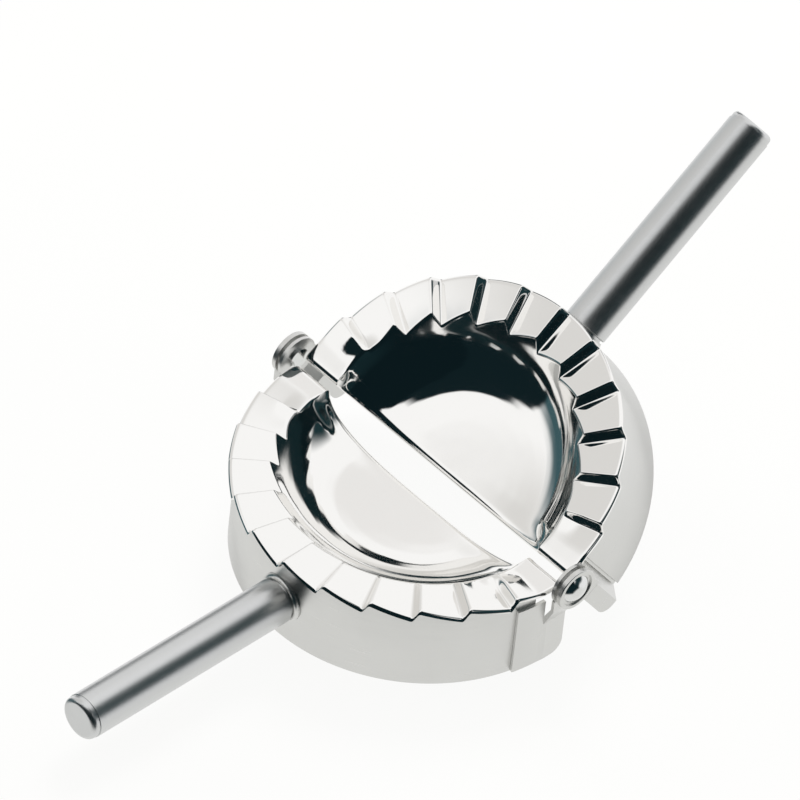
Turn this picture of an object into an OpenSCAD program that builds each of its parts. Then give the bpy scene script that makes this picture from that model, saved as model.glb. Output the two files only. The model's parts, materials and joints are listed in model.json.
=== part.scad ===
// Empanada press: two identical half bowls with pleated rims, hinged on two
// rivets and each carried by a tube handle. One half lies flat on the table,
// the other is shown swung part of the way over it.

/* [Form plates] */
// Outer radius of the pleated rim
rim_r = 60; // [54:0.5:66]
// Radius where the pleated land ends and drops to the ledge
land_in_r = 45.3; // [43:0.1:48]
// Mean height of the pleated land above the table
land_z = 31.8; // [28:0.1:36]
// Pleats in each half rim
pleat_count = 12; // [8:1:16]
// Height of a pleat's step from low to high
pleat_h = 3.5; // [1:0.1:4]
// Width of a pleat's step along the rim
riser_w = 2; // [1.2:0.1:3]
// Thickness of the pressed sheet
sheet = 0.9; // [0.6:0.05:1.1]
// Depth of the bowl's floor below the mean land
bowl_drop = 12.5; // [10:0.5:15]
// Rounding of the rim's outer edge
roll_r = 1.2; // [1.15:0.05:1.6]
// Rounding where the land turns down into the wall
brow_r = 1.2; // [1.15:0.05:1.6]
// Depth of the rounded lip along the cut edge
lip_h = 1.4; // [1.2:0.1:1.8]
// Width of the rounded lip along the cut edge
lip_w = 2.6; // [2:0.1:3.2]
// Distance of the cut edge from the hinge line
cut_gap = 1; // [0.6:0.1:2]

/* [Skirts] */
// How far the skirt stands in from the rim's edge
skirt_inset = 2.2; // [1.6:0.1:8]
// Thickness of the skirt's band
skirt_t = 0.9; // [0.6:0.05:1.2]
// Angle between the hinge line and the skirt's free end
skirt_gap_a = 6; // [5:0.5:10]

/* [Hinge] */
// Height of the hinge axis above the mean land
hinge_rise = 0.3; // [0.2:0.1:2]
// Angle of the swung half above the flat position, as shown
rest_tilt = 36; // [0:0.5:175]
// Radius of the ears round the rivets
ear_r = 7.2; // [6.8:0.1:8.5]
// Thickness of the lugs and their ears
lug_t = 1.1; // [0.9:0.05:1.2]
// Height of the lugs' top edge
lug_top = 26.3; // [24:0.1:27]
// Angle of the lugs' welded end from the hinge line
lug_a = 12.8; // [11:0.1:18]
// Rounding of the outside lugs' lower corner
out_corner_r = 4.4; // [3:0.1:6]
// Rounding of the inside lugs' lower corner
in_corner_r = 4.6; // [3:0.1:8]
// Width of the raised rim on an ear
ear_rim_w = 1.3; // [1:0.1:2]
// Height of the raised rim on an ear
ear_rim_h = 0.6; // [0.3:0.05:0.8]
// Radius of the rivet's shank
rivet_r = 2.5; // [2:0.1:3]
// Radius of the rivet's domed head
rivet_head_r = 4.9; // [4.2:0.1:5.5]
// Height of the rivet's domed head
rivet_head_h = 2.2; // [1.5:0.1:2.6]
// Radius of the rivet's closed end
rivet_tail_r = 3.7; // [3.4:0.1:4.2]
// Thickness of the rivet's closed end
rivet_tail_h = 0.85; // [0.6:0.05:1]
// Outer radius of the washer between the ears
washer_r = 5; // [4.5:0.1:6]
// Thickness of the washer between the ears
washer_t = 1.1; // [0.6:0.05:1.3]

/* [Handles] */
// Height of the handle's axis above the table
handle_z = 15.2; // [13:0.1:17]
// Outer radius of the handle tube
tube_r = 7.4; // [6.5:0.1:9]
// Wall of the handle tube
tube_wall = 1; // [0.8:0.1:1.5]
// Length of the handle tube
tube_l = 78.5; // [50:0.5:110]
// Length of the boss between the skirt and the groove
boss_l = 1.2; // [1:0.1:6]
// Width of the groove between the boss and the tube
groove_w = 0.8; // [0.5:0.1:1.5]
// Length of the plug inside the tube
plug_l = 14; // [10:1:20]
// Radius of the handle screw's shank
screw_r = 2.5; // [2:0.1:3]
// Radius of the handle screw's head
screw_head_r = 4.5; // [4:0.1:5.5]
// Height of the handle screw's head
screw_head_h = 3; // [2:0.1:4]
// Length of the handle screw below its head
screw_l = 12; // [8:0.5:14]
// How far the end cap stands out of the tube
cap_out = 2.8; // [2:0.1:4]
// Length of the end cap inside the tube
cap_in = 8; // [5:0.5:12]

/* [Hidden] */
$fn = 96;

// Colours of the polished form plates, the satin sheet and the brushed tubes
polished = [0.86, 0.87, 0.88];
satin = [0.74, 0.75, 0.76];
brushed = [0.68, 0.7, 0.71];
bright = [0.8, 0.81, 0.82];

// Clearances: one for parts that seat, one for parts that turn, one for every cut's overrun
seat_gap = 0.05;
turn_gap = 0.05;
over = 2;

skirt_r = rim_r - skirt_inset;
// The arcs of each half are struck from a line this far from the hinge line
arc_off = cut_gap + lip_w;
hinge_z = land_z + hinge_rise;

// Ears: the inner one clears the rim's end, the outer one lies past the washer
ear_step = 1.3;
in_ear_y = rim_r + ear_step;
out_ear_y = in_ear_y + lug_t + washer_t + 2 * turn_gap;

// Pleats: step angle, level share beside the hinge and the pleats' fade towards the wall
pitch = 180 / pleat_count;
riser_a = riser_w / rim_r * 180 / PI;
riser_share = riser_a / pitch;
level_share = 0.4;
fade_w = 6;
// The underside's steps lag by this much, which keeps the sheet's thickness in them
lag_share = 0.55;
lag_a = lag_share * sheet / rim_r * 180 / PI;

// Bowl: shape of its wall and of its cut edge, as powers of the radius
wall_power = 4.6;
seam_power = 3.2;
seam_sharp = 0.51;
// Distance from the cut over which the wall takes the cut edge's shape
seam_run = 6;
bowl_row_shares = [0.975, 0.95, 0.92, 0.88, 0.83, 0.77, 0.7, 0.61, 0.49, 0.31, 0];

function clamp01(v) = min(1, max(0, v));
function ease(v) = let(c = clamp01(v)) c * c * (3 - 2 * c);
function mix(a, b, w) = a + (b - a) * w;

// Height of the pleats from -1 to 1 at the angle a from the hinge line's far end
function saw(a) =
    let(i = floor(a / pitch), ph = a / pitch - i, h = riser_share / 2)
    (i > 0 && ph < h) ? ph / h
    : (i < pleat_count - 1 && ph > 1 - h) ? -(1 - ph) / h
    : (i <= 0) ? -clamp01((ph - level_share) / (1 - level_share - h))
    : (i >= pleat_count - 1) ? 1 - clamp01((ph - h) / (1 - level_share - h))
    : 1 - 2 * (ph - h) / (1 - 2 * h);

// Nearness to either end of the rim, from 0 to 1
function end_near(a, a0, a1) = 1 - ease((min(a, 180 - a) - a0) / (a1 - a0));

// Profile of the form plate from the rim's edge to the bowl's centre, as radius and depth
brow_a = 46;
brow_d = brow_r * (1 - cos(brow_a));
bowl_r = land_in_r + brow_r * (1 - sin(brow_a));
roll_rows = [for (a = [0, 45, 90]) [rim_r - roll_r * (1 - cos(a)), roll_r * (1 - sin(a))]];
brow_rows = [for (a = [0, brow_a / 2, brow_a]) [land_in_r + brow_r * (1 - sin(a)), brow_r * (1 - cos(a))]];
// The wall falls straight from the brow to turn_r, then bends steadily into the floor
wall_slope = tan(brow_a);
wall_reach = bowl_r * wall_slope - (bowl_drop - brow_d);
turn_r = min(bowl_r, wall_power * wall_reach / (wall_slope * (wall_power - 1)));
turn_d = brow_d + (bowl_r - turn_r) * wall_slope;
function bowl_depth(r) = r > turn_r ? brow_d + (bowl_r - r) * wall_slope :
    bowl_drop - (bowl_drop - turn_d) * pow(r / turn_r, wall_power);
// The wall is one smooth cone: a pleat's brow slides up and out along it with the pleat's height
function on_cone(d) = clamp01((turn_d - d) / (turn_d - brow_d));
function seam_depth(r) = bowl_drop * pow(1 - pow(clamp01(r / land_in_r), seam_power), seam_sharp);
bowl_rows = [for (s = bowl_row_shares) [s * bowl_r, bowl_depth(s * bowl_r)]];
rows = concat(roll_rows, brow_rows, bowl_rows);
row_n = len(rows);
land_rows = len(roll_rows) + 1;

// Direction square to the profile at row i, pointing into the sheet
function row_in(i) =
    let(p = rows[max(0, i - 1)], q = rows[min(row_n - 1, i + 1)],
        d = i == 0 ? [0, -1] : i == row_n - 1 ? [-1, 0] : q - p, n = norm(d))
    [d[1] / n, d[0] / n];

// Angles of the columns: both ends of each pleat's slope and two between
cols = concat([0], [for (i = [0:pleat_count - 1], s = [0, 1 / 3, 2 / 3, 1])
    pitch * (i + riser_share / 2 + s * (1 - riser_share))], [180]);
lip_as = [30, 60, 90];
lip_n = len(lip_as);
col_n = len(cols) + 2 * lip_n;

// Angle round the rim and angle round the cut edge's lip of column c
function col_a(c) = c < lip_n ? 0 : c >= lip_n + len(cols) ? 180 : cols[c - lip_n];
function col_lip(c) = c < lip_n ? lip_as[lip_n - 1 - c]
    : c >= lip_n + len(cols) ? lip_as[c - lip_n - len(cols)] : 0;

// Point of column c and row i on the top of the sheet, or on its underside
function plate_point(c, i, under) =
    let(a = col_a(c), lip = col_lip(c), r0 = rows[i][0], d0 = rows[i][1],
        outer = clamp01((r0 - land_in_r) / fade_w),
        on_land = i < land_rows ? 1 : on_cone(d0),
        inner_fade = mix(1, outer, end_near(a, pitch, 2 * pitch)),
        rise = pleat_h / 2 * saw(a) * on_land * inner_fade,
        seam = 1 - ease(r0 * sin(a) / seam_run),
        d1 = i < land_rows ? d0 : mix(d0, seam_depth(r0), seam),
        inward = under ? row_in(i) * sheet : [0, 0],
        r = max(0, r0 + inward[0] + (i < len(roll_rows) ? 0 : rise / wall_slope)), z = land_z + rise - d1 + inward[1],
        b = under && lip == 0 && a > 0 && a < 180 ? a + lag_a : a,
        lw = under ? lip_w - sheet : lip_w, lh = under ? lip_h - sheet : lip_h)
    [-arc_off - (i == row_n - 1 ? 0 : r * sin(b)) + lw * sin(lip), i == row_n - 1 ? 0 : r * cos(b),
        z - lh * (1 - cos(lip))];

// Index of the point of column c and row i: the last row is the bowl's centre, which the
// columns share, and which the two ends' lips share in pairs
ring_n = row_n - 1;
side_n = col_n * ring_n + 1 + lip_n;
function point_id(c, i, under) =
    (under ? side_n : 0) + (i < ring_n ? c * ring_n + i
        : col_n * ring_n + (col_lip(c) == 0 ? 0 : 1 + (c < lip_n ? c : col_n - 1 - c)));
function side_points(under) = concat(
    [for (c = [0:col_n - 1], i = [0:ring_n - 1]) plate_point(c, i, under)],
    [plate_point(lip_n, ring_n, under)], [for (c = [0:lip_n - 1]) plate_point(c, ring_n, under)]);
function quad(a, b, c, d) = concat(a == b || b == c || a == c ? [] : [[a, b, c]],
    a == c || c == d || a == d ? [] : [[a, c, d]]);

module form_plate() {
    top = [for (c = [0:col_n - 2], i = [0:row_n - 2]) each quad(
        point_id(c, i, false), point_id(c, i + 1, false),
        point_id(c + 1, i + 1, false), point_id(c + 1, i, false))];
    under = [for (c = [0:col_n - 2], i = [0:row_n - 2]) each quad(
        point_id(c, i, true), point_id(c + 1, i, true),
        point_id(c + 1, i + 1, true), point_id(c, i + 1, true))];
    edge = [for (c = [0:col_n - 2]) each quad(
        point_id(c, 0, false), point_id(c + 1, 0, false),
        point_id(c + 1, 0, true), point_id(c, 0, true))];
    far_cut = [for (i = [0:row_n - 2]) each quad(
        point_id(0, i, false), point_id(0, i, true), point_id(0, i + 1, true), point_id(0, i + 1, false))];
    near_cut = [for (i = [0:row_n - 2]) each quad(
        point_id(col_n - 1, i, false), point_id(col_n - 1, i + 1, false),
        point_id(col_n - 1, i + 1, true), point_id(col_n - 1, i, true))];
    color(polished) polyhedron(concat(side_points(false), side_points(true)),
        concat(top, under, edge, far_cut, near_cut), convexity = 6);
}

// Half ring from angle a0 to a1 off the hinge line's far end, standing on z0
module half_ring(r_in, r_out, z0, z1, a0, a1) {
    translate([-arc_off, 0, z0]) rotate([0, 0, 90 + a0]) rotate_extrude(angle = a1 - a0)
        translate([r_in, 0]) square([r_out - r_in, z1 - z0]);
}

// Block that lies on the underside of the pleats, used to trim the skirt's top edge
module pleat_block() {
    r0 = land_in_r + brow_r;
    r1 = rim_r - roll_r;
    top_z = land_z + pleat_h + over;
    function inner_fade(a) = mix(1, brow_r / fade_w, end_near(a, pitch, 2 * pitch));
    function under_z(a, r) = land_z - sheet - 2 * seat_gap
        + pleat_h / 2 * saw(a) * (r == r1 ? 1 : inner_fade(a));
    as = [for (c = cols) if (c > 0 && c < 180) c];
    n = len(as);
    function ring_points(r, high) = [for (a = as)
        [-arc_off - r * sin(a + lag_a), r * cos(a + lag_a), high ? top_z : under_z(a, r)]];
    points = concat(ring_points(r0, false), ring_points(r1, false),
        ring_points(r0, true), ring_points(r1, true));
    faces = concat(
        [for (k = [0:n - 2]) each [[k, n + k, k + 1], [n + k, n + k + 1, k + 1]]],
        [for (k = [0:n - 2]) each
            [[2 * n + k, 2 * n + k + 1, 3 * n + k + 1], [2 * n + k, 3 * n + k + 1, 3 * n + k]]],
        [for (k = [0:n - 2]) each [[k, k + 1, 2 * n + k + 1], [k, 2 * n + k + 1, 2 * n + k]]],
        [for (k = [0:n - 2]) each [[n + k, 3 * n + k, 3 * n + k + 1], [n + k, 3 * n + k + 1, n + k + 1]]],
        [[0, 2 * n, 3 * n], [0, 3 * n, n]],
        [[n - 1, 2 * n - 1, 4 * n - 1], [n - 1, 4 * n - 1, 3 * n - 1]]);
    polyhedron(points, faces, convexity = 6);
}

module skirt() {
    color(satin) difference() {
        half_ring(skirt_r - skirt_t, skirt_r, 0, land_z + pleat_h, skirt_gap_a, 180 - skirt_gap_a);
        pleat_block();
        along_handle(-over) cylinder(r = screw_r + seat_gap, h = boss_l + over);
    }
}

// Frame of the handle: the z axis runs out along the handle from the skirt's face
module along_handle(start) {
    translate([-arc_off - skirt_r - start, 0, handle_z]) rotate([0, -90, 0]) children();
}

// Ear round the rivet, from y0 on, with a raised rim on its outer face if it has one
module ear(y0, rim_h) {
    translate([0, y0, hinge_z]) rotate([-90, 0, 0]) rotate_extrude() {
        translate([rivet_r + turn_gap, 0]) square([ear_r - rivet_r - turn_gap, lug_t]);
        if (rim_h > 0) {
            translate([ear_r - ear_rim_w, 0]) square([ear_rim_w - rim_h / 2, lug_t + rim_h]);
            translate([ear_r - rim_h / 2, lug_t + rim_h / 2]) circle(r = rim_h / 2, $fn = 32);
            translate([ear_r - rim_h / 2, 0]) square([rim_h / 2, lug_t + rim_h / 2]);
        }
    }
}

lug_foot = 0.3;
// Angle over which a lug's bent part runs into its band
join_a = 1.5;
round_fn = 360;

function ring_point(r, a) = [-arc_off - r * sin(a), r * cos(a)];

// Outline of a lug seen along the hinge line, with a rounded lower corner
module lug_side(x0, x1, corner_r) {
    difference() {
        translate([x0, lug_foot]) square([x1 - x0, lug_top - lug_foot]);
        translate([x1 - corner_r, lug_foot]) difference() {
            translate([0, -over]) square([corner_r + over, corner_r + over]);
            translate([0, corner_r]) circle(r = corner_r);
        }
    }
}

// Lug: its band on the skirt from the angle a0 on, bent out to the plane from y0, which it
// reaches at x1, and cut off at x2
module lug_plate(r, a0, y0, x1, x2, corner_r) {
    p = ring_point(r, a0);
    q = ring_point(r + lug_t, a0);
    bend_x = q[0] + (x1 - p[0]) / (y0 - p[1]) * (y0 + lug_t - q[1]);
    translate([0, 0, lug_foot]) linear_extrude(lug_top - lug_foot) intersection() {
        translate([-arc_off, 0]) difference() {
            circle(r = r + lug_t, $fn = round_fn);
            circle(r = r, $fn = round_fn);
        }
        polygon([[-arc_off, 0], ring_point(2 * r, a0 + join_a / 2), ring_point(2 * r, lug_a)]);
    }
    intersection() {
        linear_extrude(lug_top) polygon([ring_point(r, a0 + join_a), p, [x1, y0], [x2, y0],
            [x2, y0 + lug_t], [bend_x, y0 + lug_t], q, ring_point(r + lug_t, a0 + join_a)]);
        translate([0, 2 * rim_r, 0]) rotate([90, 0, 0]) linear_extrude(2 * rim_r)
            lug_side(-rim_r, x2, corner_r);
    }
}

// Slanted neck that carries an ear out of its lug's plate, whose tip is at x1
module ear_neck(plate_y, ear_y, x1, neck_w) {
    z0 = neck_z;
    z1 = z0 + neck_rise;
    z2 = hinge_z - ear_r / 2;
    translate([x1 - neck_w, 0, 0]) rotate([90, 0, 90]) linear_extrude(neck_w)
        polygon([[plate_y, z0 - lug_t], [plate_y + lug_t, z0 - lug_t], [ear_y + lug_t, z1],
            [ear_y + lug_t, z2], [ear_y, z2], [ear_y, z1 + lug_t / 2], [plate_y, z0 + lug_t / 2]]);
}

// Lug of a half at its far end: plate, neck and ear
module lug(r, a0, plate_x, plate_y, tip_x, corner_r, neck_w, ear_y, rim_h) {
    difference() {
        union() {
            difference() {
                lug_plate(r, a0, plate_y, plate_x, tip_x, corner_r);
                translate([tip_x - neck_w, plate_y - over, neck_z])
                    cube([neck_w + over, lug_t + 2 * over, lug_top]);
            }
            ear_neck(plate_y, ear_y, tip_x, neck_w);
            ear(ear_y, rim_h);
        }
        translate([0, in_ear_y - over, hinge_z]) rotate([-90, 0, 0])
            cylinder(r = rivet_r + turn_gap, h = out_ear_y - in_ear_y + lug_t + 2 * over);
    }
}

neck_z = 17.5;
neck_rise = 6.5;
lug_flare = 0.3;

out_lug_r = skirt_r + seat_gap;
out_lug_a = 4;
out_lug_run = 5.2;
out_lug_tip = 2.4;
out_neck_w = 9;

// Lug welded outside the skirt, with the inner ear, at the near end of a half
module outside_lug() {
    plate_y = out_lug_r * cos(out_lug_a) + lug_flare;
    color(satin) mirror([0, 1, 0]) lug(out_lug_r, out_lug_a, -out_lug_run, plate_y, out_lug_tip,
        out_corner_r, out_neck_w, in_ear_y, 0);
}

in_lug_r = skirt_r - skirt_t - seat_gap - lug_t;
in_lug_a = 5;
in_lug_run = 5.2;
in_lug_tip = 0.9;
in_neck_w = 7;
in_lug_set = 1.4;

// Lug welded inside the skirt, with the outer ear, at the far end of a half
module inside_lug() {
    color(satin) lug(in_lug_r, in_lug_a, -in_lug_run, in_ear_y - in_lug_set, in_lug_tip,
        in_corner_r, in_neck_w, out_ear_y, ear_rim_h);
}

boss_step = 0.2;
boss_r = tube_r - boss_step;
boss_sink = 1;
flare_share = 0.9;
flare_l = boss_l * flare_share;

module handle_boss() {
    color(satin) difference() {
        along_handle(-boss_sink) rotate_extrude() difference() {
            square([boss_r + flare_l, boss_sink + boss_l]);
            translate([0, -over]) square([screw_r + seat_gap, boss_sink + boss_l + 2 * over]);
            translate([boss_r, boss_sink + flare_l]) square([flare_l + over, boss_l]);
            translate([boss_r + flare_l, boss_sink + flare_l]) circle(r = flare_l);
        }
        translate([-arc_off, 0, 0]) cylinder(r = skirt_r + seat_gap, h = land_z, $fn = round_fn);
    }
}

plug_r = tube_r - tube_wall - seat_gap;

module handle_plug() {
    color(satin) along_handle(boss_l) rotate_extrude() difference() {
        square([plug_r, groove_w + plug_l]);
        translate([0, -over]) square([screw_r + seat_gap, groove_w + screw_l - boss_l + over]);
    }
}

socket_r = 2.4;
socket_share = 0.7;

module handle_screw() {
    head_start = skirt_r - sqrt(pow(skirt_r - skirt_t, 2) - pow(screw_head_r, 2)) + seat_gap;
    color(bright) along_handle(-head_start) difference() {
        union() {
            cylinder(r = screw_r, h = screw_l);
            mirror([0, 0, 1]) rotate_extrude() intersection() {
                square([screw_head_r, screw_head_h]);
                translate([0, screw_head_h - screw_head_r * 2]) circle(r = screw_head_r * 2);
            }
        }
        translate([0, 0, -screw_head_h - over])
            cylinder(r = socket_r, h = over + screw_head_h * socket_share, $fn = 6);
    }
}

edge_r = 0.5;

module handle_tube() {
    color(brushed) along_handle(boss_l + groove_w) rotate_extrude() difference() {
        translate([tube_r - tube_wall, 0]) square([tube_wall, tube_l]);
        translate([tube_r - edge_r, edge_r]) difference() {
            translate([0, -over]) square([over, over]);
            circle(r = edge_r, $fn = 48);
        }
    }
}

cap_step = 0.25;
cap_r = tube_r - cap_step;
cap_edge_r = 1.6;
cap_wall = 1.2;

module end_cap() {
    color(brushed) along_handle(boss_l + groove_w + tube_l) rotate_extrude() union() {
        difference() {
            square([cap_r, cap_out]);
            translate([cap_r - cap_edge_r, cap_out - cap_edge_r]) difference() {
                square([over, over]);
                circle(r = cap_edge_r);
            }
        }
        translate([plug_r - cap_wall, -cap_in]) square([cap_wall, cap_in + over / 2]);
    }
}

// The origin is on the table, midway between the far ends of the two handles
reach = arc_off + skirt_r + boss_l + groove_w + tube_l + cap_out;
swung_reach = (reach - cap_edge_r) * cos(rest_tilt)
    + (hinge_z - handle_z + cap_r - cap_edge_r) * sin(rest_tilt) + cap_edge_r;
hinge_x = (reach - swung_reach) / 2;

// Places a part of the half that lies flat
module laid() {
    translate([hinge_x, 0, 0]) children();
}

// Carries a part of one half over to the swung half
module swung() {
    translate([hinge_x, 0, hinge_z]) rotate([0, -rest_tilt, 0]) rotate([0, 0, 180])
        translate([0, 0, -hinge_z]) children();
}

// Rivet through both ears, drawn at the far end, its head on the outer ear
module rivet() {
    head_y = out_ear_y + lug_t;
    tail_y = in_ear_y - rivet_tail_h;
    dome_r = (pow(rivet_head_r, 2) + pow(rivet_head_h, 2)) / (2 * rivet_head_h);
    color(bright) {
        translate([0, tail_y, hinge_z]) rotate([-90, 0, 0]) cylinder(r = rivet_r, h = head_y - tail_y);
        translate([0, tail_y, hinge_z]) rotate([-90, 0, 0]) cylinder(r = rivet_tail_r, h = rivet_tail_h);
        translate([0, head_y, hinge_z]) rotate([-90, 0, 0]) rotate_extrude() intersection() {
            square([rivet_head_r, rivet_head_h]);
            translate([0, rivet_head_h - dome_r]) circle(r = dome_r, $fn = 180);
        }
    }
}

module washer() {
    color(bright) translate([0, in_ear_y + lug_t + turn_gap, hinge_z]) rotate([-90, 0, 0])
        rotate_extrude() translate([rivet_r + turn_gap, 0]) square([washer_r - rivet_r - turn_gap, washer_t]);
}

laid() form_plate();  // base_form_plate
laid() skirt();  // base_skirt
laid() outside_lug();  // base_near_lug
laid() inside_lug();  // base_far_lug
laid() handle_boss();  // base_handle_boss
laid() handle_plug();  // base_handle_plug
laid() handle_screw();  // base_handle_screw
laid() handle_tube();  // base_handle_tube
laid() end_cap();  // base_end_cap
swung() form_plate();  // swing_form_plate
swung() skirt();  // swing_skirt
swung() inside_lug();  // swing_near_lug
swung() outside_lug();  // swing_far_lug
swung() handle_boss();  // swing_handle_boss
swung() handle_plug();  // swing_handle_plug
swung() handle_screw();  // swing_handle_screw
swung() handle_tube();  // swing_handle_tube
swung() end_cap();  // swing_end_cap
laid() mirror([0, 1, 0]) rivet();  // near_rivet
laid() rivet();  // far_rivet
laid() mirror([0, 1, 0]) washer();  // near_washer
laid() washer();  // far_washer
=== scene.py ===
import json
import math

import bmesh
import bpy
import numpy as np
from mathutils import Matrix, Vector


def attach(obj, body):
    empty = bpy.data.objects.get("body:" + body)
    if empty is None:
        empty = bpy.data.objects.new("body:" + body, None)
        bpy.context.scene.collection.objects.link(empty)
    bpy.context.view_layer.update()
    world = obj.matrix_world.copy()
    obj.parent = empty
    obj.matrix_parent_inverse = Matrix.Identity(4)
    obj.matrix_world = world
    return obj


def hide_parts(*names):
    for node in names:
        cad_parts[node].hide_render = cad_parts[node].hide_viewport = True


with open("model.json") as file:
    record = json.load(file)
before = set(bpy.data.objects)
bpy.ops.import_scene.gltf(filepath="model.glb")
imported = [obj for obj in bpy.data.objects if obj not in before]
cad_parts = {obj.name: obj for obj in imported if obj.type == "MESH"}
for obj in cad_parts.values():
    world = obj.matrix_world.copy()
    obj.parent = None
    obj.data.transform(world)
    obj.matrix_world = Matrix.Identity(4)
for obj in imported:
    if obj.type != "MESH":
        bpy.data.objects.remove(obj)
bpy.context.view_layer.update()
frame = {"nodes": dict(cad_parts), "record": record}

mm = 0.001
print("frame loaded")


def linear(hexColour, alpha=1.0):
    # sRGB hex to the linear colour that the shaders take
    values = [int(hexColour[i:i + 2], 16) / 255 for i in (1, 3, 5)]
    return [v / 12.92 if v <= 0.04045 else ((v + 0.055) / 1.055) ** 2.4 for v in values] + [alpha]


def addNode(tree, kind, links=(), **settings):
    # One node with its settings; links are (input, socket) pairs that feed it
    node = tree.nodes.new(kind)
    for name, value in settings.items():
        if name.startswith("in_"):
            key = name[3:]
            node.inputs[int(key) if key.isdigit() else key.replace("_", " ")].default_value = value
        else:
            setattr(node, name, value)
    for key, socket in links:
        tree.links.new(socket, node.inputs[key])
    return node


def newMaterial(name):
    material = bpy.data.materials.new(name)
    material.use_nodes = True
    material.node_tree.nodes.clear()
    return material, material.node_tree


def ease(value):
    c = np.clip(value, 0, 1)
    return c * c * (3 - 2 * c)


# Pressed form plate, millimetres and degrees: the values of its construction, drawn finer
plate = dict(
    rimRadius=60, landInner=45.3, landHeight=31.8, thickness=0.9,
    rollRadius=1.2, browRadius=1.2, browAngle=46, bowlDrop=12.5, wallPower=4.6,
    # pleats: number, height, width of a riser, share of the end pleats that lies level
    pleats=12, pleatHeight=3.5, riserWidth=2, levelShare=0.4, lagShare=0.55,
    # widths over which the end pleats fade inward and the brow's slide fades outward
    fadeWidth=6, slideWidth=8,
    # cut edge: its gap to the hinge plane, its rolled lip, and how the bowl opens to it
    cutGap=1, lipHeight=1.4, lipWidth=2.6, seamPower=3.2, seamSharp=0.51, seamRun=6,
    # rounding of the creases and of the profile
    creaseBlur=0.3, profileBlur=0.3,
)
# How finely the plate is drawn: rows follow the profile, columns follow the rim
grid = dict(
    arcPoints=7, rows=72, sampleStep=0.05, straightWeight=0.35, bendWeight=6, weightBlur=10,
    waveSamples=9001, landDepth=0.02, blurReach=4, angleDigits=4,
    wallShares=(1, 0.985, 0.97, 0.955, 0.93, 0.9, 0.86, 0.82, 0.76, 0.7, 0.61, 0.52, 0.4, 0.28, 0.14, 0),
    # degrees from a riser's middle and from the cut, then shares of a pleat between risers
    besideRiser=(-1.9, -1.5, -1.2, -0.95, -0.7, -0.35, 0, 0.35, 0.7, 0.95, 1.2, 1.5, 1.9),
    besideCut=(0, 1.5, 3, 4.5),
    pleatShares=(0.2, 0.3, 0.4, 0.5, 0.6, 0.7, 0.8),
    lipSteps=7,
)
# Millimetres within which mesh points count as one, and degrees past which an edge stays sharp
meshing = dict(weld=0.002, sharpAngle=40)
hinge = dict(rise=0.3, tilt=36)
hingeX, _, hingeZ = frame["record"]["behaviour"]["joints"][0]["pos_m"]


def pleatWave(crease):
    # Height of the pleats from -1 to 1 against the angle, its creases rounded over that many mm
    p = plate
    pitch = 180 / p["pleats"]
    riser = math.degrees(p["riserWidth"] / p["rimRadius"]) / pitch
    angles = np.linspace(0, 180, grid["waveSamples"])
    i = np.minimum(np.floor(angles / pitch), p["pleats"] - 1)
    ph = angles / pitch - i
    half = riser / 2
    run = 1 - p["levelShare"] - half
    wave = 1 - 2 * (ph - half) / (1 - riser)
    wave = np.where(i == 0, -np.clip((ph - p["levelShare"]) / run, 0, 1), wave)
    wave = np.where(i == p["pleats"] - 1, 1 - np.clip((ph - half) / run, 0, 1), wave)
    wave = np.where((i > 0) & (ph < half), ph / half, wave)
    wave = np.where((i < p["pleats"] - 1) & (ph > 1 - half), -(1 - ph) / half, wave)
    sigma = math.degrees(crease / p["rimRadius"]) / (angles[1] - angles[0])
    return angles, blur(wave, sigma)


def blur(values, sigma):
    # Gaussian smoothing along the first axis; the ends stay where they are
    reach = int(grid["blurReach"] * sigma) + 1
    kernel = np.exp(-0.5 * (np.arange(-reach, reach + 1) / sigma) ** 2)
    kernel /= kernel.sum()
    flat = values.reshape(len(values), -1)
    out = []
    for column in flat.T:
        head = 2 * column[0] - column[reach:0:-1]
        tail = 2 * column[-1] - column[-2:-reach - 2:-1]
        out.append(np.convolve(np.concatenate([head, column, tail]), kernel, "valid"))
    return np.array(out).T.reshape(values.shape)


def bowlWall():
    # Radius and depth where the wall starts under the brow, and where its straight part ends
    p = plate
    brow = math.radians(p["browAngle"])
    bowlRadius = p["landInner"] + p["browRadius"] * (1 - math.sin(brow))
    bowlTop = p["browRadius"] * (1 - math.cos(brow))
    slope = math.tan(brow)
    reach = bowlRadius * slope - (p["bowlDrop"] - bowlTop)
    turnRadius = min(bowlRadius, p["wallPower"] * reach / (slope * (p["wallPower"] - 1)))
    return bowlRadius, bowlTop, turnRadius, bowlTop + (bowlRadius - turnRadius) * slope


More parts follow.
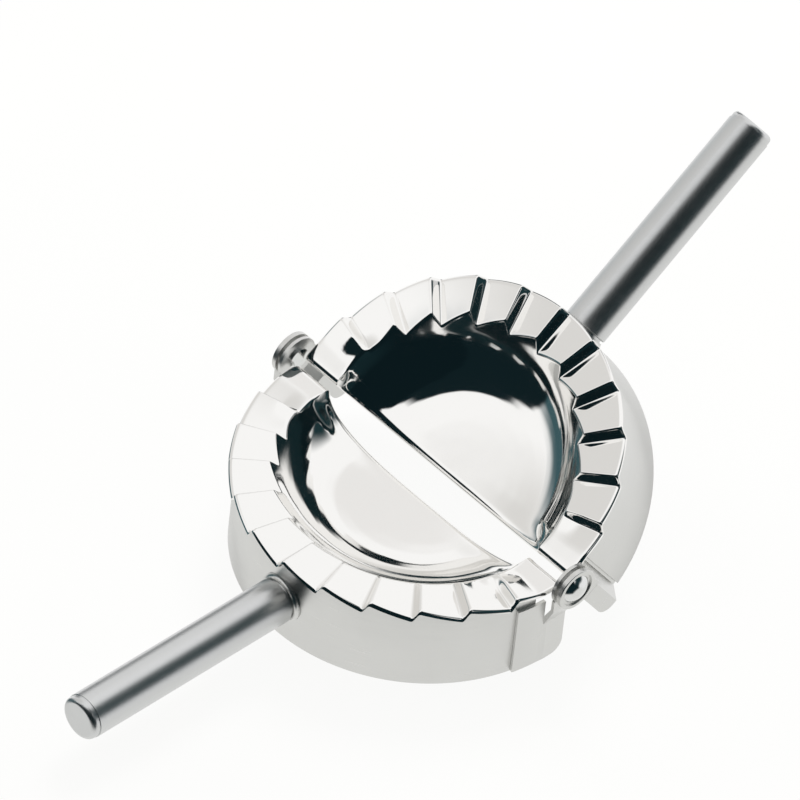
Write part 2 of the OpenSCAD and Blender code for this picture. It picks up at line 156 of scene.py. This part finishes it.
def plateProfile():
    # Radius and depth from the rim's edge to the bowl's centre, rounded and resampled
    p = plate
    turn = np.radians(np.linspace(0, 90, grid["arcPoints"]))
    brow = np.radians(np.linspace(0, p["browAngle"], grid["arcPoints"]))
    _, _, turnRadius, turnDepth = bowlWall()
    shares = np.array(grid["wallShares"])
    bowl = p["bowlDrop"] - (p["bowlDrop"] - turnDepth) * shares ** p["wallPower"]
    points = np.concatenate([
        np.c_[p["rimRadius"] - p["rollRadius"] * (1 - np.cos(turn)),
              p["rollRadius"] * (1 - np.sin(turn))],
        np.c_[p["landInner"] + p["browRadius"] * (1 - np.sin(brow)),
              p["browRadius"] * (1 - np.cos(brow))],
        np.c_[shares * turnRadius, bowl],
    ])
    steps = np.r_[0, np.cumsum(np.hypot(*np.diff(points, axis=0).T))]
    fine = np.append(np.arange(0, steps[-1], grid["sampleStep"]), steps[-1])
    line = np.c_[np.interp(fine, steps, points[:, 0]), np.interp(fine, steps, points[:, 1])]
    line = blur(line, p["profileBlur"] / grid["sampleStep"])
    line[0] = points[0]
    line[-1] = points[-1]
    # rows lie closer together where the profile turns
    direction = np.unwrap(np.arctan2(*np.gradient(line, axis=0).T))
    bend = np.abs(np.gradient(direction)) / grid["sampleStep"]
    weight = blur(grid["straightWeight"] + grid["bendWeight"] * bend, grid["weightBlur"])
    total = np.r_[0, np.cumsum((weight[1:] + weight[:-1]) / 2)]
    index = np.arange(len(line))
    picks = np.interp(np.linspace(0, total[-1], grid["rows"]), total, index)
    return np.c_[np.interp(picks, index, line[:, 0]), np.interp(picks, index, line[:, 1])]


def plateColumns():
    # Angle and lip angle of each column; columns lie closer together over the creases
    pitch = 180 / plate["pleats"]
    beside, between = np.array(grid["besideRiser"]), np.array(grid["pleatShares"])
    angles = list(grid["besideCut"]) + [180 - angle for angle in grid["besideCut"]]
    for i in range(plate["pleats"]):
        if i > 0:
            angles.extend(i * pitch + beside)
        angles.extend(i * pitch + pitch * between)
    angles = np.unique(np.round(angles, grid["angleDigits"]))
    steps = grid["lipSteps"]
    lips = np.linspace(0, 90, steps + 1)[1:]
    return (np.r_[np.zeros(steps), angles, np.full(steps, 180.0)],
            np.r_[lips[::-1], np.zeros(len(angles)), lips])


def platePoints(under):
    # Grid of points on the sheet's upper face or its underside: columns by rows
    p = plate
    angle, lip = plateColumns()
    profile = plateProfile()
    r, d = profile[:, 0], profile[:, 1]
    _, bowlTop, _, turnDepth = bowlWall()
    land = (r > p["landInner"] + p["browRadius"]) | (d < grid["landDepth"])
    onLand = np.where(land, 1, np.clip((turnDepth - d) / (turnDepth - bowlTop), 0, 1))
    outer = np.clip((r - p["landInner"]) / p["fadeWidth"], 0, 1)
    pitch = 180 / p["pleats"]
    nearEnd = 1 - ease((np.minimum(angle, 180 - angle) - pitch) / pitch)
    fade = 1 + (outer[None, :] - 1) * nearEnd[:, None]
    wave = np.interp(angle, *pleatWave(p["creaseBlur"]))[:, None]
    rise = p["pleatHeight"] / 2 * wave * onLand[None, :] * fade
    seam = 1 - ease(r[None, :] * np.sin(np.radians(angle))[:, None] / p["seamRun"])
    seamShare = (1 - np.clip(r / p["landInner"], 0, 1) ** p["seamPower"]) ** p["seamSharp"]
    seamDepth = p["bowlDrop"] * seamShare
    depth = np.where(land[None, :], d[None, :], d + (seamDepth - d)[None, :] * seam)
    inward = np.zeros((len(r), 2))
    turned = angle.copy()
    if under:
        step = np.gradient(profile, axis=0)
        step /= np.hypot(*step.T)[:, None]
        inward = np.c_[step[:, 1], step[:, 0]] * p["thickness"]
        inward[0] = [-p["thickness"], 0]
        inward[-1] = [0, -p["thickness"]]
        lag = math.degrees(p["lagShare"] * p["thickness"] / p["rimRadius"])
        turned = np.where((lip == 0) & (angle > 0) & (angle < 180), angle + lag, angle)
    # the wall is one smooth cone: a pleat's brow slides up and out along it with the pleat's height
    slide = np.where(land, 1 - ease((r - p["landInner"] - p["browRadius"]) / p["slideWidth"]), onLand)
    slope = math.tan(math.radians(p["browAngle"]))
    inner = p["pleatHeight"] / 2 * wave * (1 - nearEnd)[:, None]
    radius = np.maximum(0, (r + inward[:, 0])[None, :] + inner / slope * slide[None, :])
    radius[:, -1] = 0
    shrink = p["thickness"] if under else 0
    bend = np.radians(lip)[:, None]
    a = np.radians(turned)[:, None]
    offset = -(p["cutGap"] + p["lipWidth"])
    x = offset - radius * np.sin(a) + (p["lipWidth"] - shrink) * np.sin(bend)
    y = radius * np.cos(a)
    lipFall = (p["lipHeight"] - shrink) * (1 - np.cos(bend))
    z = p["landHeight"] + rise - depth + inward[None, :, 1] - lipFall
    return np.stack([x, y, z], axis=2)


def steelMesh(name, points, faces, matrix):
    # Mesh in metres from millimetre points, with doubled points merged and facets smoothed
    mesh = bpy.data.meshes.new(name)
    bm = bmesh.new()
    made = [bm.verts.new(matrix @ (Vector(point) * mm)) for point in points]
    for face in faces:
        bm.faces.new([made[i] for i in face])
    bmesh.ops.remove_doubles(bm, verts=bm.verts, dist=meshing["weld"] * mm)
    bmesh.ops.dissolve_degenerate(bm, edges=bm.edges, dist=meshing["weld"] * mm)
    bmesh.ops.recalc_face_normals(bm, faces=bm.faces)
    bm.to_mesh(mesh)
    bm.free()
    mesh.shade_smooth()
    mesh.set_sharp_from_angle(angle=math.radians(meshing["sharpAngle"]))
    piece = bpy.data.objects.new(name, mesh)
    bpy.context.collection.objects.link(piece)
    return piece


def gridFaces(columns, rows, start=0, flip=False):
    faces = []
    for c in range(columns - 1):
        for i in range(rows - 1):
            a = start + c * rows + i
            face = (a, a + 1, a + rows + 1, a + rows)
            faces.append(face[::-1] if flip else face)
    return faces


def formPlate(name, matrix):
    top, under = platePoints(False), platePoints(True)
    columns, rows = top.shape[:2]
    points = np.concatenate([top.reshape(-1, 3), under.reshape(-1, 3)])
    other = columns * rows
    faces = gridFaces(columns, rows) + gridFaces(columns, rows, other, True)
    for c in range(columns - 1):
        a, b = c * rows, (c + 1) * rows
        faces.append((a, b, other + b, other + a))
    for c, flip in ((0, False), (columns - 1, True)):
        for i in range(rows - 1):
            a = c * rows + i
            face = (a, other + a, other + a + 1, a + 1)
            faces.append(face[::-1] if flip else face)
    return steelMesh(name, points.tolist(), faces, matrix)


# Skirt, millimetres and degrees: stops short of the cut, and clears the rim's underside
skirt = dict(radius=57.8, thickness=0.9, gapAngle=6, edgeRound=0.25, cornerShare=0.3, underRim=0.08)


def skirtBand(name, matrix):
    # Sheet band under the rim: its upper edge follows the pleats' underside
    s, p = skirt, plate
    waveAngle, wave = pleatWave(p["creaseBlur"])
    angles = np.r_[plateColumns()[0], s["gapAngle"], 180 - s["gapAngle"]]
    angles = np.unique(np.round(angles, grid["angleDigits"]))
    angles = angles[(angles >= s["gapAngle"]) & (angles <= 180 - s["gapAngle"])]
    lag = math.degrees(p["lagShare"] * p["thickness"] / p["rimRadius"])
    e, out, inn = s["edgeRound"], s["radius"], s["radius"] - s["thickness"]
    c = s["cornerShare"] * e
    offset = -(p["cutGap"] + p["lipWidth"])
    points = []
    for a in angles:
        top = p["landHeight"] + p["pleatHeight"] / 2 * np.interp(a - lag, waveAngle, wave)
        top -= p["thickness"] + s["underRim"]
        ring = [(out, top), (out, e), (out - c, c), (out - e, 0),
                (inn + e, 0), (inn + c, c), (inn, e), (inn, top)]
        t = math.radians(a)
        points.extend((offset - r * math.sin(t), r * math.cos(t), z) for r, z in ring)
    n = len(ring)
    faces = [tuple(reversed(range(n)))]
    for column in range(len(angles) - 1):
        for k in range(n):
            a, b = column * n + k, column * n + (k + 1) % n
            faces.append((a, b, b + n, a + n))
    last = (len(angles) - 1) * n
    faces.append(tuple(last + k for k in range(n)))
    return steelMesh(name, points, faces, matrix)


laid = Matrix.Translation((hingeX, 0, 0))
swung = (Matrix.Translation((hingeX, 0, hingeZ)) @ Matrix.Rotation(math.radians(-hinge["tilt"]), 4, "Y")
         @ Matrix.Rotation(math.pi, 4, "Z") @ Matrix.Translation((0, 0, -hingeZ)))
halves = {"base": (laid, "base_half"), "swing": (swung, "swing_half")}

pieces = {}
for half, (matrix, body) in halves.items():
    pieces[half + "Plate"] = formPlate(half + "_pressed_plate", matrix)
    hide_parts(half + "_form_plate")
    pieces[half + "Skirt"] = skirtBand(half + "_skirt_band", matrix)
    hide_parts(half + "_skirt")
    for key in ("Plate", "Skirt"):
        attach(pieces[half + key], body)
print("form plates and skirts made")


# Finishes. Every steel is metallic, so its colour is the tint of what it mirrors
steel = dict(
    polishedTint="#F6F5F3", polishedRoughness=(0.035, 0.075),
    satinTint="#DCDCDA", satinRoughness=(0.26, 0.36),
    tubeTint="#D9DADA", tubeRoughness=(0.29, 0.35),
    brightTint="#E2E3E2", brightRoughness=(0.08, 0.18),
    # millimetres: mottling of the polish, waviness of the pressing, brush line spacing
    mottle=14, pressWave=9, brushSpacing=0.35, brushLength=18,
    # heights of the pressing's waves and of the brush lines, and the lines' strength
    waveHeight=0.05, brushHeight=0.02, sheetBrush=0.3, tubeBrush=0.03,
    # the tube's lines are drawn coarser along the tube, and shorter around it
    tubeSpacing=3, tubeLengthShare=0.2, linesShare=0.6,
    # detail and roughness of each noise, and the span of its values that the finish uses
    mottleNoise=(3, 0.55), lineNoise=(3, 0.6), waveNoise=(1, 0.4), noiseSpan=(0.3, 0.7),
)


def brushedCoordinates(tree, tilt, stretch):
    # Object coordinates turned back into the half's own flat position, then stretched
    coordinates = addNode(tree, "ShaderNodeTexCoord")
    turned = addNode(tree, "ShaderNodeMapping", [("Vector", coordinates.outputs["Object"])],
                     in_Rotation=(0, math.radians(tilt), 0))
    return addNode(tree, "ShaderNodeMapping", [("Vector", turned.outputs["Vector"])],
                   in_Scale=stretch)


def steelFinish(name, tint, roughness, tilt=0, brush=None, wave=0.0, brushDepth=0.0):
    material, tree = newMaterial(name)
    coordinates = addNode(tree, "ShaderNodeTexCoord")
    detail, rough = steel["mottleNoise"]
    mottle = addNode(tree, "ShaderNodeTexNoise", [("Vector", coordinates.outputs["Object"])],
                     in_Scale=1 / (steel["mottle"] * mm), in_Detail=detail, in_Roughness=rough)
    value = mottle.outputs["Fac"]
    normal = None
    if brush:
        stretched = brushedCoordinates(tree, tilt, brush)
        detail, rough = steel["lineNoise"]
        lines = addNode(tree, "ShaderNodeTexNoise", [("Vector", stretched.outputs["Vector"])],
                        in_Scale=1, in_Detail=detail, in_Roughness=rough)
        both = addNode(tree, "ShaderNodeMix", [(2, mottle.outputs["Fac"]), (3, lines.outputs["Fac"])],
                       data_type="FLOAT", in_0=steel["linesShare"])
        value = both.outputs[0]
        bump = addNode(tree, "ShaderNodeBump", [("Height", lines.outputs["Fac"])],
                       in_Strength=brushDepth, in_Distance=steel["brushHeight"] * mm)
        normal = bump.outputs["Normal"]
    if wave:
        detail, rough = steel["waveNoise"]
        waves = addNode(tree, "ShaderNodeTexNoise", [("Vector", coordinates.outputs["Object"])],
                        in_Scale=1 / (steel["pressWave"] * mm), in_Detail=detail, in_Roughness=rough)
        bump = addNode(tree, "ShaderNodeBump", [("Height", waves.outputs["Fac"])],
                       in_Strength=1, in_Distance=wave * mm)
        normal = bump.outputs["Normal"]
    low, high = steel["noiseSpan"]
    spread = addNode(tree, "ShaderNodeMapRange", [("Value", value)], in_From_Min=low,
                     in_From_Max=high, in_To_Min=roughness[0], in_To_Max=roughness[1])
    shader = addNode(tree, "ShaderNodeBsdfPrincipled", [("Roughness", spread.outputs["Result"])],
                     in_Metallic=1.0, in_Base_Color=linear(tint))
    if normal:
        tree.links.new(normal, shader.inputs["Normal"])
    addNode(tree, "ShaderNodeOutputMaterial", [("Surface", shader.outputs["BSDF"])])
    return material


def dress(piece, material):
    piece.data.materials.clear()
    piece.data.materials.append(material)


longLine = 1 / (steel["brushLength"] * mm)
fineLine = 1 / (steel["brushSpacing"] * mm)
around = (longLine, longLine, fineLine)
alongTube = (fineLine / steel["tubeSpacing"], longLine / steel["tubeLengthShare"],
             longLine / steel["tubeLengthShare"])
# Mirror-polished stainless steel: hard, slightly wavy reflections
mirrorSteel = steelFinish("mirror-polished stainless steel", steel["polishedTint"],
                          steel["polishedRoughness"], wave=steel["waveHeight"])
# Bright machined steel of rivets, washers and screws: small soft highlights
brightSteel = steelFinish("bright machined steel", steel["brightTint"], steel["brightRoughness"])
for half, tilt in (("base", 0), ("swing", hinge["tilt"])):
    # Satin stainless steel: grained along the band, soft broad highlights
    satinSteel = steelFinish("satin stainless steel, " + half, steel["satinTint"],
                             steel["satinRoughness"], tilt, around, brushDepth=steel["sheetBrush"])
    # Brushed stainless tube: fine turned grain that spreads the reflections across
    tubeSteel = steelFinish("brushed stainless tube, " + half, steel["tubeTint"],
                            steel["tubeRoughness"], tilt, alongTube,
                            brushDepth=steel["tubeBrush"])
    dress(pieces[half + "Plate"], mirrorSteel)
    dress(pieces[half + "Skirt"], satinSteel)
    for node in ("near_lug", "far_lug", "handle_boss"):
        dress(frame["nodes"][half + "_" + node], satinSteel)
    for node in ("handle_tube", "end_cap", "handle_plug"):
        dress(frame["nodes"][half + "_" + node], tubeSteel)
    dress(frame["nodes"][half + "_handle_screw"], brightSteel)
for node in ("near_rivet", "far_rivet", "near_washer", "far_washer"):
    dress(frame["nodes"][node], brightSteel)
print("finishes made")


# Studio: pale floor, white surroundings with soft cards, one soft key light from behind
studio = dict(
    floorTints=("#FCFCFB", "#FFFFFE"), floorGlow=0.95, floorGrain=6.0, floorDetail=4,
    floorSize=0.45, worldStrength=1.0, worldTint="#FFFFFF",
    keyAzimuth=125, keyElevation=50, keyPower=9, keySize=0.5, keyDistance=1.1,
)
# Cards round the press: azimuth, elevation, radius and edge softness in degrees, tint. A later
# card lies over an earlier one. The grey ones tone the lands and floors, the dark ones black the
# bowls' far walls, the risers and the tubes' bands, and the last two are the pale surroundings
# under and in front of the press
cards = [
    (-176, 38, 28, 22, "#DFDEDC"),
    (124, 46, 9, 9, "#F0EFEE"),
    (-152, -24, 34, 16, "#3E5A60"),
    (40, 32, 24, 16, "#1E3438"),
    (14, 14, 14, 10, "#1E3438"),
    (-70, -10, 62, 3, "#101F23"),
    (-45, 20, 44, 3, "#0C1A1E"),
    (-10, -10, 31, 12, "#14262A"),
    (140, 4, 14, 8, "#1A2A2E"),
    (2, 61, 15, 8, "#14262A"),
    (0, -90, 60, 12, "#F4F4F2"),
    (18, -34, 22, 12, "#F0F0EE"),
]

material, tree = newMaterial("matt white card floor")
coordinates = addNode(tree, "ShaderNodeTexCoord")
grain = addNode(tree, "ShaderNodeTexNoise", [("Vector", coordinates.outputs["Object"])],
                in_Scale=studio["floorGrain"], in_Detail=studio["floorDetail"])
tone = addNode(tree, "ShaderNodeMix", [("Factor", grain.outputs["Fac"])], data_type="RGBA",
               in_6=linear(studio["floorTints"][0]), in_7=linear(studio["floorTints"][1]))
paper = addNode(tree, "ShaderNodeBsdfDiffuse", [("Color", tone.outputs[2])])
glow = addNode(tree, "ShaderNodeEmission", [("Color", tone.outputs[2])])
mixed = addNode(tree, "ShaderNodeMixShader", [(1, paper.outputs[0]), (2, glow.outputs[0])],
                in_0=studio["floorGlow"])
addNode(tree, "ShaderNodeOutputMaterial", [("Surface", mixed.outputs[0])])
mesh = bpy.data.meshes.new("floor")
s = studio["floorSize"]
mesh.from_pydata([(-s, -s, 0), (s, -s, 0), (s, s, 0), (-s, s, 0)], [], [(0, 1, 2, 3)])
floor = bpy.data.objects.new("floor", mesh)
bpy.context.collection.objects.link(floor)
floor.data.materials.append(material)
# the steel mirrors the surroundings' own lower half instead of the floor
floor.visible_glossy = False


def direction(azimuth, elevation):
    a, e = math.radians(azimuth), math.radians(elevation)
    return Vector((math.cos(e) * math.sin(a), -math.cos(e) * math.cos(a), math.sin(e)))


world = bpy.data.worlds.new("studio")
bpy.context.scene.world = world
world.use_nodes = True
tree = world.node_tree
tree.nodes.clear()
sky = addNode(tree, "ShaderNodeTexCoord")
colour = None
for azimuth, elevation, radius, soft, tint in cards:
    facing = addNode(tree, "ShaderNodeVectorMath", [(0, sky.outputs["Generated"])],
                     operation="DOT_PRODUCT", in_1=direction(azimuth, elevation))
    edge = addNode(tree, "ShaderNodeMapRange", [("Value", facing.outputs["Value"])],
                   interpolation_type="SMOOTHSTEP",
                   in_From_Min=math.cos(math.radians(radius + soft / 2)),
                   in_From_Max=math.cos(math.radians(max(0, radius - soft / 2))))
    card = addNode(tree, "ShaderNodeMix", [("Factor", edge.outputs["Result"])], data_type="RGBA",
                   in_6=linear(studio["worldTint"]), in_7=linear(tint))
    if colour:
        tree.links.new(colour, card.inputs[6])
    colour = card.outputs[2]
# The steel mirrors the cards, while the camera sees plain white beyond the floor
background = addNode(tree, "ShaderNodeBackground", [("Color", colour)],
                     in_Strength=studio["worldStrength"])
plain = addNode(tree, "ShaderNodeBackground", in_Color=linear(studio["worldTint"]))
path = addNode(tree, "ShaderNodeLightPath")
seen = addNode(tree, "ShaderNodeMixShader", [(0, path.outputs["Is Camera Ray"]),
                                             (1, background.outputs[0]), (2, plain.outputs[0])])
addNode(tree, "ShaderNodeOutputWorld", [("Surface", seen.outputs[0])])

keyData = bpy.data.lights.new("key", "AREA")
keyData.shape = "DISK"
keyData.size = studio["keySize"]
keyData.energy = studio["keyPower"]
key = bpy.data.objects.new("key", keyData)
bpy.context.collection.objects.link(key)
toward = direction(studio["keyAzimuth"], studio["keyElevation"])
key.visible_glossy = False
key.location = toward * studio["keyDistance"]
key.rotation_euler = toward.to_track_quat("Z", "Y").to_euler()

# Camera at the photograph's angle, from far away
view = dict(azimuth=-47.334, elevation=45.044, roll=6.535, target=(25.495, 33.731, 24.0),
            distance=6000, pixelsPerMm=3.252, frame=800, sensor=36, reach=50)
back = direction(view["azimuth"], view["elevation"])
right = (-back).cross(Vector((0, 0, 1))).normalized()
up = right.cross(-back)
roll = math.radians(view["roll"])
right, up = (math.cos(roll) * right + math.sin(roll) * up, math.cos(roll) * up - math.sin(roll) * right)
cameraData = bpy.data.cameras.new("camera")
cameraData.sensor_width = view["sensor"]
cameraData.lens = view["sensor"] * view["pixelsPerMm"] * view["distance"] / view["frame"]
cameraData.clip_end = view["reach"]
camera = bpy.data.objects.new("camera", cameraData)
bpy.context.collection.objects.link(camera)
camera.matrix_world = Matrix.Translation((Vector(view["target"]) + back * view["distance"]) * mm) @ (
    Matrix((right, up, back)).transposed().to_4x4())
bpy.context.scene.camera = camera
bpy.context.scene.view_settings.view_transform = "Standard"
print("studio and camera set")
